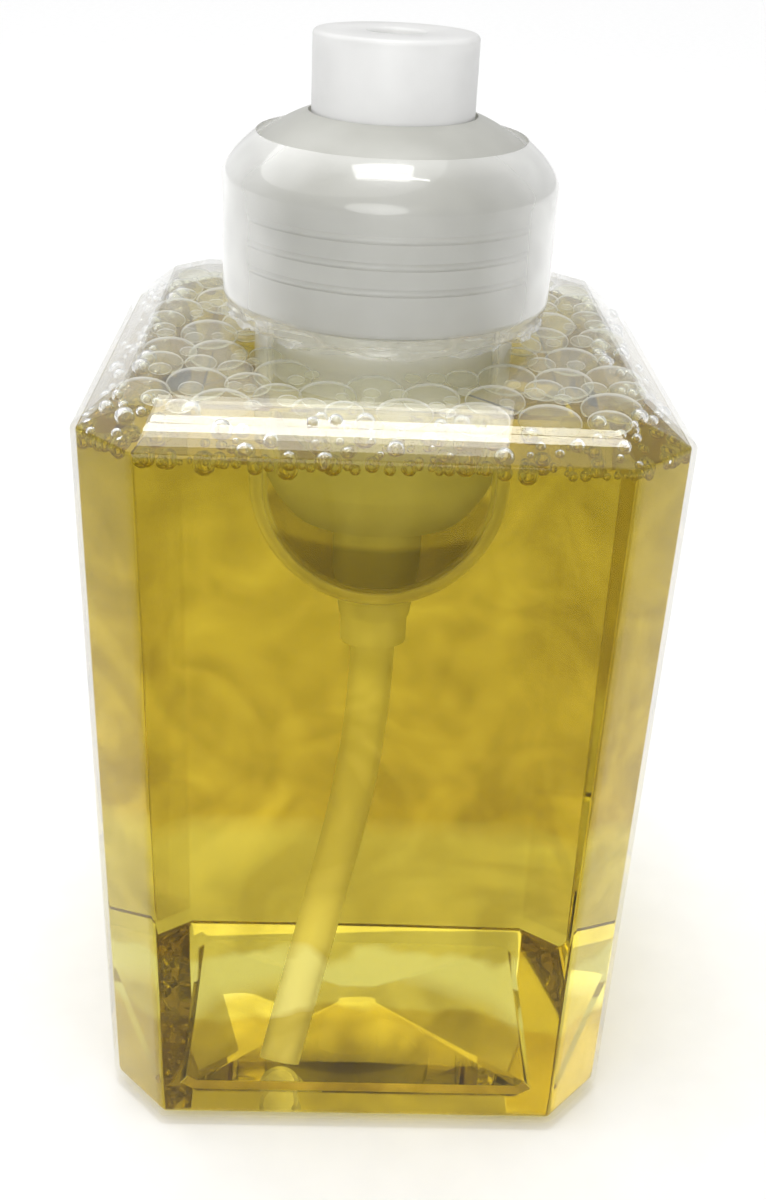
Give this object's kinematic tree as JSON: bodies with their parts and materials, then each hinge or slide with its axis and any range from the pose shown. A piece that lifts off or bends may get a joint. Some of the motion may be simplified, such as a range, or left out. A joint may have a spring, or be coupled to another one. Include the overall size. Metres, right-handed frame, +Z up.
{
  "type": "foaming hand soap refill pack",
  "caption": "Clear square bottle of liquid hand soap with a screwed-on foam pump, curved dip tube and shrink band.",
  "frame": {"origin": "centre of the base, on the surface the bottle stands on", "axes": "+Z up along the pump's axis, the front face looks to -Y, +X to the right of it"},
  "size_m": [0.08, 0.0776, 0.1603],
  "materials": {
    "clear_bottle": "clear blown plastic",
    "yellow_soap": "clear yellow liquid",
    "soap_froth": "bubbles",
    "natural_plastic": "frosted translucent",
    "clear_film": "thin clear film",
    "white_plastic": "satin",
    "soft_seal": "matt",
    "spring_steel": "drawn wire"
  },
  "bodies": {
    "bottle": {"bottle": "clear_bottle", "liquid_soap": "yellow_soap", "soap_froth": "soap_froth"},
    "pump_body": {"pump_housing": "natural_plastic", "neck_gasket": "soft_seal", "dip_tube": "natural_plastic", "inlet_ball": "spring_steel", "return_spring": "spring_steel"},
    "plunger": {"liquid_piston": "white_plastic", "piston_stem": "white_plastic", "outlet_ball": "spring_steel", "air_piston": "white_plastic", "air_valve": "soft_seal", "mesh_cartridge": "white_plastic", "coarse_mesh": "white_plastic", "fine_mesh": "white_plastic", "actuator_head": "natural_plastic"},
    "collar": {"screw_collar": "natural_plastic", "shrink_band": "clear_film"}
  },
  "joints": [
    {"name": "pump_lift", "type": "slide", "parent": "bottle", "child": "pump_body", "axis": [0, 0, 1], "range_m": [0, 0.0065], "deforming": ["liquid_soap"]},
    {"name": "collar_turn", "type": "hinge", "parent": "pump_body", "child": "collar", "pos_m": [0, 0, 0.1256], "axis": [0, 0, 1], "range_deg": [0, 540]},
    {"name": "pump_press", "type": "slide", "parent": "pump_body", "child": "plunger", "axis": [0, 0, -1], "range_m": [0, 0.008], "stiffness_N_per_m": 600, "springref_m": -0.01, "deforming": ["return_spring"]}
  ],
  "couplings": [
    {"joint": "pump_lift", "follows": "collar_turn", "m_per_rad": 0.000668}
  ]
}
